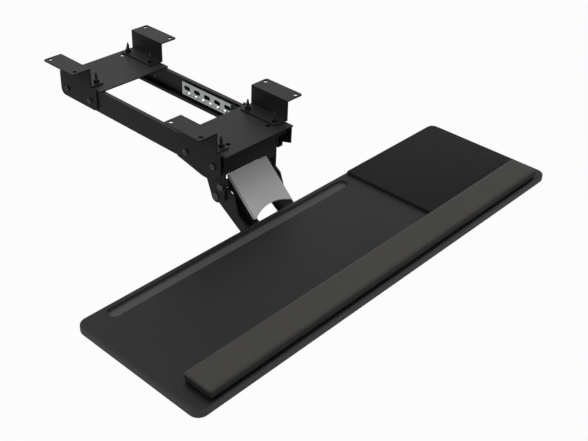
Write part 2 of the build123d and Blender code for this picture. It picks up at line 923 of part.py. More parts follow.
def tray_bracket():
    """Plate under the deck with two ears down to the tilt axis."""
    plate_low = deck_under - tray_plate_steel
    with BuildPart() as piece:
        with BuildSketch(Plane.XY.offset(plate_low)):
            with Locations((0, tray_plate_y)):
                RectangleRounded(2 * tray_plate_half_width, tray_plate_length, tray_plate_corner)
            with Locations(*tray_screw_places()):
                Circle(tray_screw / 2 + running_fit, mode=Mode.SUBTRACT)
        extrude(amount=tray_plate_steel)
        for side in SIDES.values():
            with BuildSketch(inward(side, ear_half_width, ear_steel)):
                with BuildLine():
                    Polyline(
                        (tilt_y + ear_eye, plate_low), (tilt_y + ear_eye, tilt_z),
                        (tilt_y, tilt_z - ear_eye), (tilt_y - ear_length + ear_eye, plate_low),
                        close=True,
                    )
                make_face()
                with Locations((tilt_y, tilt_z)):
                    Circle(ear_eye)
                    Circle(shaft / 2 + running_fit, mode=Mode.SUBTRACT)
            extrude(amount=ear_steel)
    return piece


def tray_screws():
    """Six wood screws up through the tray plate into the deck."""
    seat = deck_under - tray_plate_steel
    with BuildPart() as piece:
        with BuildSketch(Plane.XY.offset(seat)):
            with Locations(*tray_screw_places()):
                Circle(tray_screw / 2)
        extrude(amount=tray_screw_length)
        with BuildSketch(Plane.XY.offset(seat)):
            with Locations(*tray_screw_places()):
                Circle(tray_screw_head / 2)
        extrude(amount=-tray_screw_head_height)
    return piece


def deck():
    """Tray board with rounded corners and edges and a pen trough at the rear."""
    trough_x = -deck_width / 2 + trough_left_inset + trough_length / 2
    with BuildPart() as piece:
        with BuildSketch(Plane.XY.offset(deck_under)):
            with Locations((0, deck_y)):
                RectangleRounded(deck_width, deck_depth, deck_corner)
        extrude(amount=deck_thickness)
        fillet(piece.edges().group_by(Axis.Z)[-1] + piece.edges().group_by(Axis.Z)[0], deck_edge)
        with BuildSketch(Plane.XY.offset(deck_top)):
            with Locations((trough_x, deck_rear - trough_rear_inset)):
                SlotOverall(trough_length, trough_width)
        extrude(amount=-trough_depth, mode=Mode.SUBTRACT)
        with BuildSketch(Plane.XY.offset(deck_under)):
            with Locations(*tray_screw_places()):
                Circle(tray_screw / 2 + running_fit)
        extrude(amount=tray_screw_length - tray_plate_steel + side_gap, mode=Mode.SUBTRACT)
    return piece


def mouse_pad():
    """Flat pad at the right, up to the rounded rear edge and just inside the right one."""
    right = deck_width / 2 - pad_right_inset
    rear = deck_rear - deck_edge
    left = right - pad_width
    with BuildPart() as piece:
        with BuildSketch(Plane.XY.offset(deck_top)):
            with Locations(((left + right) / 2, (pad_front + rear) / 2)):
                outline = Rectangle(pad_width, rear - pad_front)
            corner = outline.vertices().group_by(Axis.Y)[-1].sort_by(Axis.X)[-1]
            fillet(corner, pad_corner)
        extrude(amount=pad_thickness)
    return piece


def palm_rest_base():
    """Stiff strip under the palm rest, set back from its outline, flat on the deck."""
    with BuildPart() as piece:
        with BuildSketch(Plane.XY.offset(deck_top)):
            with Locations(((rest_left + rest_right) / 2, (rest_front + rest_rear) / 2)):
                Rectangle(rest_width - 2 * rest_base_inset, rest_depth - 2 * rest_base_inset)
        extrude(amount=rest_base)
    return piece


def rest_section(x, draw, crown):
    """Cross-section of the padded rest at x, drawn in by draw, with its crown."""
    low = deck_top + rest_base
    high = deck_top + rest_height - draw
    front = rest_front + draw
    rear = rest_rear - draw
    middle = (front + rear) / 2
    with BuildSketch(side_plane(x)) as section:
        with BuildLine():
            Line((front, low), (front, high - rest_round))
            RadiusArc((front, high - rest_round), (front + rest_round, high), rest_round)
            ThreePointArc((front + rest_round, high), (middle, high + crown), (rear - rest_round, high))
            RadiusArc((rear - rest_round, high), (rear, high - rest_round), rest_round)
            Line((rear, high - rest_round), (rear, low))
            Line((rear, low), (front, low))
        make_face()
    return section.sketch


def palm_rest():
    """Padded rest: flat crowned top, rounded long edges and drawn-in ends."""
    sections = [
        rest_section(rest_left, rest_crown, rest_crown / 2),
        rest_section(rest_left + rest_round, 0, rest_crown),
        rest_section(rest_right - rest_round, 0, rest_crown),
        rest_section(rest_right, rest_crown, rest_crown / 2),
    ]
    with BuildPart() as piece:
        loft(sections, ruled=True)
    return piece


def main():
    """Build and write every piece."""
    os.makedirs("parts", exist_ok=True)
    for end, y in {"front": front_brackets_y, "rear": rear_brackets_y}.items():
        for name, side in SIDES.items():
            save(desk_bracket(side, y), f"{end}_{name}_bracket")
    for name, side in SIDES.items():
        save(rail(side), f"{name}_rail")
        save(slide(side), f"{name}_slide")
        save(retainer(side), f"{name}_ball_retainer")
        save(balls(side), f"{name}_balls")
    save(bracket_studs(), "bracket_studs")
    save(bracket_nuts(), "bracket_nuts")
    save(front_plate(), "front_plate")
    save(rear_plate(), "rear_plate")
    save(rail_screws(), "rail_screws")
    save(travel_stops(), "travel_stops")
    save(flange_buffer(), "flange_buffer")
    save(carriage(), "carriage")
    save(carriage_screws(), "carriage_screws")
    save(cross_shaft(arm_y, arm_z, carriage_half_width), "arm_rear_shaft")
    save(cross_shaft(link_y, link_z, carriage_half_width), "link_rear_shaft")
    save(cross_shaft(head_y, head_z, arm_outer), "arm_front_shaft")
    save(cross_shaft(open_y, open_z, head_half_width), "link_front_shaft")
    rear_clips = [(arm_y, arm_z, carriage_half_width), (link_y, link_z, carriage_half_width)]
    front_clips = [(head_y, head_z, arm_outer), (open_y, open_z, head_half_width)]
    save(shaft_clips(rear_clips), "rear_shaft_clips")
    save(shaft_clips(front_clips), "front_shaft_clips")
    save(lower_arm(), "lower_arm")
    save(upper_link(), "upper_link")
    save(link_cover(), "link_cover")
    save(head_bracket(), "head_bracket")
    save(tilt_shaft(), "tilt_shaft")
    save(tilt_knob(), "tilt_knob")
    save(tray_bracket(), "tray_bracket")
    save(tray_screws(), "tray_screws")
    save(deck(), "deck")
    save(mouse_pad(), "mouse_pad")
    save(palm_rest_base(), "palm_rest_base")
    save(palm_rest(), "palm_rest")


if __name__ == "__main__":
    main()
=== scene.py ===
"""Dresses the under-desk keyboard tray for its pictures.

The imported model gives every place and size. This script softens the edges of the
steel pieces, builds the padded palm rest, the mouse pad and the lock knob, gives each
piece its finish, and sets up the floor, the lights and the camera.
"""

import json
import logging
import math
from dataclasses import dataclass
from enum import Enum
from typing import Dict, Iterable, List, NamedTuple, Sequence, Tuple, Union

import bmesh
import bpy
from mathutils import Matrix, Vector


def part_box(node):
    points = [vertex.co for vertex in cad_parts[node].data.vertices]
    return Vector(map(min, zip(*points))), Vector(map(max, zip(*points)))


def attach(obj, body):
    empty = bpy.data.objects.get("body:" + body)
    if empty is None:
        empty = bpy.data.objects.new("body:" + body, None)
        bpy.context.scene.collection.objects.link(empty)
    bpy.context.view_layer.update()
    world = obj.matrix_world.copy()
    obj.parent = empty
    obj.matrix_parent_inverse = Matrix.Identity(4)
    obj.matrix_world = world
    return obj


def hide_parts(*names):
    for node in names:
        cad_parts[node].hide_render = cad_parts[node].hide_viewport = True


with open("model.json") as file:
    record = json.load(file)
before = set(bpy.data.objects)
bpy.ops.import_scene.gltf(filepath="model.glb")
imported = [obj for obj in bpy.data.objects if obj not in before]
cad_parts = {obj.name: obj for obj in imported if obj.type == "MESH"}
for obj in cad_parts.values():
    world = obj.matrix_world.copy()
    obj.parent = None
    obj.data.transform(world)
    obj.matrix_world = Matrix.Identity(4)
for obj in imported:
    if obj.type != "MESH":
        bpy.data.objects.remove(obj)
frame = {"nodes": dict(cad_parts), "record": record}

LOG = logging.getLogger("tray")
MM = 0.001
WHITE = (1.0, 1.0, 1.0, 1.0)
UPWARDS = (0.0, 0.0, 1.0)

Colour = Tuple[float, float, float]
Corner = Tuple[float, float, float]
Span = Tuple[float, float]
Socket = bpy.types.NodeSocket
Shape = bmesh.types.BMesh

# Spans of a pattern's values: all of them, the middle that noise keeps to,
# the distances inside pebbles, and the heights of threads
WHOLE: Span = (0.0, 1.0)
MIDDLE: Span = (0.3, 0.7)
PEBBLE: Span = (0.1, 0.7)
SKIN_PEBBLE: Span = (0.1, 0.8)
THREAD: Span = (0.2, 0.9)

# Profile of a bevel that makes part of a circle
CIRCULAR = 0.5

# Width in millimetres of the rounding on each steel and rubber piece
ROUNDINGS: Dict[str, float] = {
    "front_plate": 0.45, "rear_plate": 0.45,
    "front_left_bracket": 0.45, "front_right_bracket": 0.45,
    "rear_left_bracket": 0.45, "rear_right_bracket": 0.45,
    "left_rail": 0.35, "right_rail": 0.35, "left_slide": 0.3, "right_slide": 0.3,
    "carriage": 0.4, "lower_arm": 0.4, "upper_link": 0.35, "head_bracket": 0.4,
    "tray_bracket": 0.4, "link_cover": 0.5,
    "left_ball_retainer": 0.15, "right_ball_retainer": 0.15,
    "rail_screws": 0.3, "carriage_screws": 0.2, "tray_screws": 0.3, "bracket_studs": 0.15,
    "bracket_nuts": 0.35, "rear_shaft_clips": 0.15, "front_shaft_clips": 0.15,
    "arm_rear_shaft": 0.3, "link_rear_shaft": 0.3, "arm_front_shaft": 0.3, "link_front_shaft": 0.3,
    "tilt_shaft": 0.3, "travel_stops": 0.6, "flange_buffer": 0.6, "palm_rest_base": 0.4,
}


class Grain(Enum):
    """How a fine surface pattern is stretched along X, Y and Z."""

    EVEN = (1.0, 1.0, 1.0)
    ALONG_TRACK = (1.0, 0.06, 1.0)
    ALONG_DECK = (0.05, 1.0, 1.0)


class NodeBench:
    """One material under construction, with a principled shader at its end."""

    # Numbers of the sockets of a mix node that blends colours
    MIX_SHARE, MIX_FIRST, MIX_SECOND, MIX_RESULT = 0, 6, 7, 2

    # How far rows of threads wander, and in how many octaves
    THREAD_WOBBLE = 0.4
    THREAD_DETAIL = 1.0

    def __init__(self, name: str) -> None:
        """Start an empty material.

        Args:
            name: Name of the material.
        """
        self.material = bpy.data.materials.new(name)
        self.material.use_nodes = True
        self.tree = self.material.node_tree
        self.tree.nodes.clear()
        self.shader = self.add("ShaderNodeBsdfPrincipled")
        output = self.add("ShaderNodeOutputMaterial")
        self.wire(self.shader.outputs["BSDF"], output.inputs["Surface"])
        self.place = self.add("ShaderNodeTexCoord").outputs["Object"]

    def add(self, kind: str) -> bpy.types.Node:
        """Add a node of this kind."""
        return self.tree.nodes.new(kind)

    def wire(self, source: Socket, target: Socket) -> None:
        """Join an output to an input."""
        self.tree.links.new(source, target)

    def set(self, **values: object) -> None:
        """Write constant values on the shader's own sockets.

        Args:
            **values: Socket names with underscores for spaces, and their values.
        """
        for name, value in values.items():
            self.shader.inputs[name.replace("_", " ")].default_value = value

    def stretched(self, grain: Grain) -> Socket:
        """Object coordinates scaled for a grain direction.

        Args:
            grain: Direction of the pattern.

        Returns:
            The scaled vector.
        """
        mapping = self.add("ShaderNodeMapping")
        mapping.inputs["Scale"].default_value = grain.value
        self.wire(self.place, mapping.inputs["Vector"])
        return mapping.outputs["Vector"]

    def noise(self, per_metre: float, detail: float = 3.0, grain: Grain = Grain.EVEN) -> Socket:
        """Noise of a given fineness.

        Args:
            per_metre: Scale of the pattern on metres.
            detail: Octaves.
            grain: Direction of the pattern.

        Returns:
            The noise value from 0 to 1.
        """
        node = self.add("ShaderNodeTexNoise")
        node.inputs["Scale"].default_value = per_metre
        node.inputs["Detail"].default_value = detail
        self.wire(self.stretched(grain), node.inputs["Vector"])
        return node.outputs["Fac"]

    def cells(self, per_metre: float) -> Socket:
        """Distance to the nearest cell centre of a pebbled pattern.

        Args:
            per_metre: Scale of the pattern on metres.

        Returns:
            The distance value.
        """
        node = self.add("ShaderNodeTexVoronoi")
        node.inputs["Scale"].default_value = per_metre
        self.wire(self.place, node.inputs["Vector"])
        return node.outputs["Distance"]

    def threads(self, per_metre: float, turn: float) -> Socket:
        """Rows of threads across the plane.

        Args:
            per_metre: Fineness of the rows on metres.
            turn: Angle of the rows about Z, in radians.

        Returns:
            The wave value from 0 to 1.
        """
        mapping = self.add("ShaderNodeMapping")
        mapping.inputs["Rotation"].default_value = (0.0, 0.0, turn)
        self.wire(self.place, mapping.inputs["Vector"])
        wave = self.add("ShaderNodeTexWave")
        wave.inputs["Scale"].default_value = per_metre / (2.0 * math.pi)
        wave.inputs["Distortion"].default_value = self.THREAD_WOBBLE
        wave.inputs["Detail"].default_value = self.THREAD_DETAIL
        self.wire(mapping.outputs["Vector"], wave.inputs["Vector"])
        return wave.outputs["Fac"]

    def height(self, low: float, high: float) -> Socket:
        """Share that rises from 0 to 1 between two heights of the row frame.

        Args:
            low: Height that gives 0, in metres.
            high: Height that gives 1, in metres.

        Returns:
            The share.
        """
        parts = self.add("ShaderNodeSeparateXYZ")
        self.wire(self.place, parts.inputs["Vector"])
        return self.spread(parts.outputs["Z"], WHOLE, (low, high))

    def spread(self, value: Socket, result: Span, source: Span = MIDDLE) -> Socket:
        """Map a span of a value to a new span.

        Args:
            value: The value.
            result: Results at the two ends of the source span.
            source: The span of the value.

        Returns:
            The mapped value, which stays inside the result span.
        """
        node = self.add("ShaderNodeMapRange")
        for name, number in zip(("From Min", "From Max", "To Min", "To Max"), source + result):
            node.inputs[name].default_value = number
        self.wire(value, node.inputs["Value"])
        return node.outputs["Result"]

    def combine(self, operation: str, first: Socket, second: Socket) -> Socket:
        """Combine two values.

        Args:
            operation: Name of the operation, such as ADD.
            first: First value.
            second: Second value.

        Returns:
            The result.
        """
        node = self.add("ShaderNodeMath")
        node.operation = operation
        self.wire(first, node.inputs[0])
        self.wire(second, node.inputs[1])
        return node.outputs["Value"]

    def blend(self, share: Socket, first: Union[Colour, Socket], second: Union[Colour, Socket]) -> Socket:
        """Blend two colours.

        Args:
            share: Share of the second colour.
            first: Colour or colour socket at share 0.
            second: Colour or colour socket at share 1.

        Returns:
            The blended colour.
        """
        node = self.add("ShaderNodeMix")
        node.data_type = "RGBA"
        self.wire(share, node.inputs[self.MIX_SHARE])
        for number, colour in ((self.MIX_FIRST, first), (self.MIX_SECOND, second)):
            if isinstance(colour, Socket):
                self.wire(colour, node.inputs[number])
            else:
                node.inputs[number].default_value = (*colour, 1.0)
        return node.outputs[self.MIX_RESULT]

    def paint(self, share: Socket, first: Union[Colour, Socket], second: Union[Colour, Socket]) -> None:
        """Colour the surface with a blend of two colours.

        Args:
            share: Share of the second colour.
            first: Colour or colour socket at share 0.
            second: Colour or colour socket at share 1.
        """
        self.wire(self.blend(share, first, second), self.shader.inputs["Base Color"])

    def roughen(self, roughness: Socket) -> None:
        """Give the surface a pattern of roughness."""
        self.wire(roughness, self.shader.inputs["Roughness"])

    def bump(self, height: Socket, distance: float) -> None:
        """Raise the surface by a height pattern.

        Args:
            height: Pattern from 0 to 1.
            distance: Depth of the pattern in metres.
        """
        node = self.add("ShaderNodeBump")
        node.inputs["Distance"].default_value = distance
        node.inputs["Strength"].default_value = 1.0
        self.wire(height, node.inputs["Height"])
        self.wire(node.outputs["Normal"], self.shader.inputs["Normal"])


# In the finishes below the field named after a pattern is its scale on metres. The span
# that ends in tone is what the pattern gives to the blend of dark and pale, and the span
# that ends in roughness is what it gives to the roughness. Polished and dulled are how far
# the roughness falls and rises from its own value, and depth is the surface's relief.


@dataclass(frozen=True)
class PowderCoat:
    """Matt black powder coat with a fine orange-peel grain."""

    name: str = "black_steel"
    dark: Colour = (0.0065, 0.0065, 0.0069)
    pale: Colour = (0.0100, 0.0100, 0.0105)
    gloss: float = 0.20
    clouds: float = 14.0
    cloud_roughness: Span = (0.44, 0.54)
    peel: float = 1500.0
    peel_roughness: Span = (-0.05, 0.05)
    depth: float = 0.03 * MM

    def make(self) -> bpy.types.Material:
        """Build the material."""
        bench = NodeBench(self.name)
        bench.set(Specular_IOR_Level=self.gloss)
        clouds = bench.noise(self.clouds)
        bench.paint(bench.spread(clouds, WHOLE), self.dark, self.pale)
        peel = bench.noise(self.peel, detail=2.0)
        bench.roughen(bench.combine(
            "ADD", bench.spread(peel, self.peel_roughness), bench.spread(clouds, self.cloud_roughness),
        ))
        bench.bump(peel, self.depth)
        return bench.material


@dataclass(frozen=True)
class DrawnSteel:
    """Metal with fine lines drawn along one direction."""

    name: str
    dark: Colour
    pale: Colour
    roughness: float = 0.34
    metallic: float = 1.0
    grain: Grain = Grain.ALONG_TRACK
    lines: float = 2600.0
    line_tone: Span = (0.6, 1.0)
    line_roughness: Span = (-0.04, 0.04)
    stains: float = 45.0
    stain_tone: Span = (0.5, 1.0)
    polished: float = 0.05
    dulled: float = 0.08
    depth: float = 0.006 * MM

    def make(self) -> bpy.types.Material:
        """Build the material."""
        bench = NodeBench(self.name)
        bench.set(Metallic=self.metallic)
        lines = bench.noise(self.lines, detail=2.0, grain=self.grain)
        stains = bench.noise(self.stains, detail=4.0)
        tone = bench.combine(
            "MULTIPLY", bench.spread(lines, self.line_tone), bench.spread(stains, self.stain_tone),
        )
        bench.paint(tone, self.dark, self.pale)
        stain_roughness = (self.roughness - self.polished, self.roughness + self.dulled)
        bench.roughen(bench.combine(
            "ADD", bench.spread(lines, self.line_roughness), bench.spread(stains, stain_roughness),
        ))
        bench.bump(lines, self.depth)
        return bench.material


@dataclass(frozen=True)
class SatinPaint:
    """Smooth satin paint with a barely uneven sheen."""

    name: str
    dark: Colour
    pale: Colour
    roughness: float = 0.42
    gloss: float = 0.4
    drift: float = 22.0
    dulled: float = 0.06
    fine: float = 900.0
    fine_roughness: Span = (-0.03, 0.03)
    depth: float = 0.008 * MM

    def make(self) -> bpy.types.Material:
        """Build the material."""
        bench = NodeBench(self.name)
        bench.set(Specular_IOR_Level=self.gloss)
        drift = bench.noise(self.drift, detail=2.0)
        bench.paint(bench.spread(drift, WHOLE), self.dark, self.pale)
        fine = bench.noise(self.fine, detail=2.0)
        drift_roughness = (self.roughness, self.roughness + self.dulled)
        bench.roughen(bench.combine(
            "ADD", bench.spread(fine, self.fine_roughness), bench.spread(drift, drift_roughness),
        ))
        bench.bump(fine, self.depth)
        return bench.material


@dataclass(frozen=True)
class MouldedPlastic:
    """Black plastic or rubber with a fine spark-eroded grain from its mould."""

    name: str
    dark: Colour = (0.012, 0.012, 0.012)
    pale: Colour = (0.020, 0.020, 0.020)
    roughness: float = 0.5
    dulled: float = 0.08
    drift: float = 60.0
    pebbles: float = 1800.0
    pebble_roughness: Span = (-0.05, 0.05)
    depth: float = 0.04 * MM
    gloss: float = 0.35

    def make(self) -> bpy.types.Material:
        """Build the material."""
        bench = NodeBench(self.name)
        bench.set(Specular_IOR_Level=self.gloss)
        grain = bench.cells(self.pebbles)
        drift = bench.noise(self.drift)
        bench.paint(bench.spread(drift, WHOLE), self.dark, self.pale)
        drift_roughness = (self.roughness, self.roughness + self.dulled)
        bench.roughen(bench.combine(
            "ADD", bench.spread(grain, self.pebble_roughness, PEBBLE),
            bench.spread(drift, drift_roughness),
        ))
        bench.bump(grain, self.depth)
        return bench.material


@dataclass(frozen=True)
class DeckFoil:
    """Black foil on fibreboard: a fine emboss on top, with a highlight painted round its edge and shade
    painted below that.

    Attributes:
        painted_edge_highlight: Colour of the highlight painted on the edge's face.
        foot: Colour of the shade painted below that highlight.
        highlight_start: Heights above the deck's underside between which the painted highlight begins.
        highlight_stop: Depths below the deck's top between which the painted highlight ends.
    """

    name: str = "deck_board"
    dark: Colour = (0.0055, 0.0054, 0.0050)
    pale: Colour = (0.0085, 0.0083, 0.0078)
    painted_edge_highlight: Colour = (0.062, 0.062, 0.061)
    foot: Colour = (0.006, 0.006, 0.006)
    gloss: float = 0.16
    highlight_start: Span = (1.6 * MM, 2.6 * MM)
    highlight_stop: Span = (1.6 * MM, 0.15 * MM)
    emboss: float = 1100.0
    emboss_roughness: Span = (-0.04, 0.04)
    depth: float = 0.03 * MM
    fibres: float = 420.0
    fibre_tone: Span = (0.6, 1.0)
    fibre_roughness: Span = (0.40, 0.46)
    drift: float = 9.0
    drift_tone: Span = (0.4, 1.0)

    def make(self) -> bpy.types.Material:
        """Build the material."""
        bench = NodeBench(self.name)
        bench.set(Specular_IOR_Level=self.gloss)
        cells = bench.cells(self.emboss)
        fibres = bench.noise(self.fibres, detail=4.0, grain=Grain.ALONG_DECK)
        drift = bench.noise(self.drift, detail=2.0)
        tone = bench.combine(
            "MULTIPLY", bench.spread(drift, self.drift_tone), bench.spread(fibres, self.fibre_tone),
        )
        low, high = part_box("deck")
        # The edge's face is painted: a pale highlight between the two heights, and painted shade at its
        # foot.
        above_foot_shade = bench.height(*(low.z + up for up in self.highlight_start))
        above_painted_highlight = bench.height(*(high.z - down for down in self.highlight_stop))
        edge = bench.blend(above_foot_shade, self.foot, self.painted_edge_highlight)
        bench.paint(above_painted_highlight, edge, bench.blend(tone, self.dark, self.pale))
        bench.roughen(bench.combine(
            "ADD", bench.spread(cells, self.emboss_roughness, PEBBLE),
            bench.spread(fibres, self.fibre_roughness),
        ))
        bench.bump(cells, self.depth)
        return bench.material


@dataclass(frozen=True)
class PadCloth:
    """Fine knitted black cloth, seen as two sets of crossing rows."""

    name: str = "pad_cloth"
    dark: Colour = (0.0050, 0.0050, 0.0050)
    pale: Colour = (0.0115, 0.0115, 0.0115)
    gloss: float = 0.10
    sheen: float = 0.05
    sheen_roughness: float = 0.5
    rows: float = 1300.0
    row_tone: Span = (0.3, 1.0)
    row_angle: float = math.radians(45)
    depth: float = 0.06 * MM
    fuzz: float = 240.0
    fuzz_tone: Span = (0.55, 1.0)
    fuzz_roughness: Span = (0.72, 0.86)

    def make(self) -> bpy.types.Material:
        """Build the material."""
        bench = NodeBench(self.name)
        bench.set(
            Specular_IOR_Level=self.gloss, Sheen_Weight=self.sheen, Sheen_Roughness=self.sheen_roughness,
        )
        warp = bench.threads(self.rows, self.row_angle)
        weft = bench.threads(self.rows, -self.row_angle)
        weave = bench.combine("MAXIMUM", warp, weft)
        fuzz = bench.noise(self.fuzz, detail=5.0)
        tone = bench.combine(
            "MULTIPLY", bench.spread(weave, self.row_tone, THREAD), bench.spread(fuzz, self.fuzz_tone),
        )
        bench.paint(tone, self.dark, self.pale)
        bench.roughen(bench.spread(fuzz, self.fuzz_roughness))
        bench.bump(weave, self.depth)
        return bench.material


@dataclass(frozen=True)
class RestSkin:
    """Soft matt skin with a pebbled leather grain over foam, with shade painted round its sides.

    Attributes:
        painted_side_shade: Colour of the shade painted on the sides.
        shade_stop: Depths below the rest's top between which that painted shade ends.
    """

    name: str = "rest_skin"
    dark: Colour = (0.033, 0.032, 0.029)
    pale: Colour = (0.048, 0.046, 0.042)
    painted_side_shade: Colour = (0.014, 0.0135, 0.0125)
    gloss: float = 0.2
    sheen: float = 0.05
    sheen_roughness: float = 0.4
    shade_stop: Span = (4.0 * MM, 1.8 * MM)
    pebbles: float = 1000.0
    pebble_tone: Span = (1.0, 0.55)
    depth: float = 0.05 * MM
    creases: float = 130.0
    crease_tone: Span = (0.6, 1.0)
    crease_roughness: Span = (0.58, 0.7)

    def make(self) -> bpy.types.Material:
        """Build the material."""
        bench = NodeBench(self.name)
        bench.set(
            Specular_IOR_Level=self.gloss, Sheen_Weight=self.sheen, Sheen_Roughness=self.sheen_roughness,
        )
        pebbles = bench.cells(self.pebbles)
        creases = bench.noise(self.creases, detail=4.0)
        tone = bench.combine(
            "MULTIPLY", bench.spread(pebbles, self.pebble_tone, SKIN_PEBBLE),
            bench.spread(creases, self.crease_tone),
        )
        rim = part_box("palm_rest")[1].z
        # Below the top the sides are painted darker, as shade.
        above_side_shade = bench.height(*(rim - down for down in self.shade_stop))
        bench.paint(above_side_shade, self.painted_side_shade, bench.blend(tone, self.dark, self.pale))
        bench.roughen(bench.spread(creases, self.crease_roughness))
        bench.bump(pebbles, self.depth)
        return bench.material


FINISHES = {
    "black_steel": PowderCoat(),
    "rail_steel": SatinPaint(
        "rail_steel", (0.006, 0.006, 0.0065), (0.010, 0.010, 0.0105), roughness=0.38, gloss=0.2,
    ),
    "dark_zinc": DrawnSteel(
        "dark_zinc", (0.010, 0.010, 0.011), (0.022, 0.022, 0.024), roughness=0.40, metallic=0.6,
    ),
    "zinc": DrawnSteel("zinc", (0.44, 0.49, 0.48), (0.66, 0.71, 0.70), roughness=0.36),
    "polished_steel": DrawnSteel(
        "polished_steel", (0.6, 0.6, 0.61), (0.78, 0.78, 0.79), roughness=0.12, grain=Grain.EVEN,
    ),
    "bright_screws": DrawnSteel(
        "bright_screws", (0.050, 0.050, 0.052), (0.100, 0.100, 0.104), roughness=0.36, metallic=0.8,
    ),
    "rubber": MouldedPlastic(
        "rubber", (0.008, 0.008, 0.008), (0.014, 0.014, 0.014), roughness=0.68, pebbles=700.0,
        depth=0.03 * MM, gloss=0.25,
    ),
    "grey_cover": SatinPaint(
        "grey_cover", (0.56, 0.56, 0.57), (0.60, 0.60, 0.61), roughness=0.45, gloss=0.35,
    ),
    "black_plastic": MouldedPlastic("black_plastic"),
    "deck_board": DeckFoil(),
    "pad_cloth": PadCloth(),
    "rest_skin": RestSkin(),
}


def new_object(name: str, data: bpy.types.ID) -> bpy.types.Object:
    """Add an object to the scene.

    Args:
        name: Name of the object.
        data: Mesh, lamp or camera it shows.

    Returns:
        The object.
    """
    thing = bpy.data.objects.new(name, data)
    bpy.context.scene.collection.objects.link(thing)
    return thing


def mesh_of(shape: Shape, name: str, smooth: float = 35.0) -> bpy.types.Mesh:
    """Turn a bmesh into a mesh with smooth faces and sharp edges kept.

    Args:
        shape: The bmesh, freed here.
        name: Name of the mesh.
        smooth: Edges sharper than this many degrees stay sharp.

    Returns:
        The mesh.
    """
    mesh = bpy.data.meshes.new(name)
    shape.to_mesh(mesh)
    shape.free()
    mesh.polygons.foreach_set("use_smooth", [True] * len(mesh.polygons))
    mesh.set_sharp_from_angle(angle=math.radians(smooth))
    return mesh


def slab(low: Vector, high: Vector) -> Shape:
    """Box between two corners.

    Args:
        low: Lowest corner.
        high: Highest corner.

    Returns:
        The bmesh.
    """
    shape = bmesh.new()
    size = high - low
    middle = (high + low) / 2.0
    matrix = Matrix.Translation(middle) @ Matrix.Diagonal((*size, 1.0))
    bmesh.ops.create_cube(shape, size=1.0, matrix=matrix)
    return shape


def round_edges(shape: Shape, edges: Sequence[bmesh.types.BMEdge], width: float, steps: int) -> None:
    """Round edges of a bmesh.

    Args:
        shape: The bmesh.
        edges: The edges.
        width: Width of the rounding.
        steps: Segments of the rounding.
    """
    bmesh.ops.bevel(
        shape, geom=edges, offset=width, segments=steps, profile=CIRCULAR, affect="EDGES", material=-1,
    )


class Workshop:
    """Keeps the finishes and places finished pieces on their bodies."""

    def __init__(self) -> None:
        """Make every finish once."""
        self.finishes = {slot: finish.make() for slot, finish in FINISHES.items()}
        self.slots = {row["node"]: row["material_slot"] for row in frame["record"]["subparts"]}
        self.bodies = {
            node: body for body, nodes in frame["record"]["behaviour"]["bodies"].items() for node in nodes
        }

    def dress_nodes(self) -> None:
        """Give every CAD node its finish."""
        for node, thing in frame["nodes"].items():
            if not thing.material_slots:
                thing.data.materials.append(None)
            for held in thing.material_slots:
                held.material = self.finishes[self.slots[node]]

    def place(self, mesh: bpy.types.Mesh, name: str, node: str) -> bpy.types.Object:
        """Put a finished mesh where its CAD node is and let it stand for that node.

        Args:
            mesh: Mesh in the row frame.
            name: Name of the piece.
            node: CAD node it stands for.

        Returns:
            The piece.
        """
        piece = new_object(name, mesh)
        slot = self.slots[node]
        mesh.materials.clear()
        mesh.materials.append(self.finishes[slot])
        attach(piece, self.bodies[node])
        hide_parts(node)
        LOG.info("%s stands for %s", name, node)
        return piece


@dataclass
class SoftSheets:
    """Pieces whose cut and folded edges are slightly rounded under their coat.

    Attributes:
        workshop: Where the pieces are finished.
        weld: Points closer than this are joined.
        flat: Faces that meet at fewer degrees than this become one.
        crease: Edges sharper than this many degrees are rounded.
        steps: Segments of a rounding.
    """

    workshop: Workshop
    weld: float = 0.002 * MM
    flat: float = 0.6
    crease: float = 40.0
    steps: int = 2

    def soften(self, node: str, width: float) -> None:
        """Copy a node, join its loose faces and round its edges.

        Args:
            node: CAD node.
            width: Width of the rounding in millimetres.
        """
        shape = bmesh.new()
        shape.from_mesh(frame["nodes"][node].data)
        bmesh.ops.remove_doubles(shape, verts=shape.verts, dist=self.weld)
        bmesh.ops.dissolve_limit(
            shape, angle_limit=math.radians(self.flat), use_dissolve_boundaries=False,
            verts=shape.verts, edges=shape.edges, delimit=set(),
        )
        mesh = mesh_of(shape, f"{node}_sheet", self.crease)
        piece = self.workshop.place(mesh, f"{node}_sheet", node)
        rounding = piece.modifiers.new("rounding", "BEVEL")
        rounding.width = width * MM
        rounding.segments = self.steps
        rounding.limit_method = "ANGLE"
        rounding.angle_limit = math.radians(self.crease)
        rounding.harden_normals = True
        rounding.use_clamp_overlap = True

    def build(self) -> None:
        """Round every piece in the list."""
        for node, width in ROUNDINGS.items():
            self.soften(node, width)


class Ring(NamedTuple):
    """One ring of the knob's outline.

    Attributes:
        x: Where the ring lies along the shaft.
        radius: Radius over its lobes.
        share: Depth of its flutes as a share of the full depth.
    """

    x: float
    radius: float
    share: float


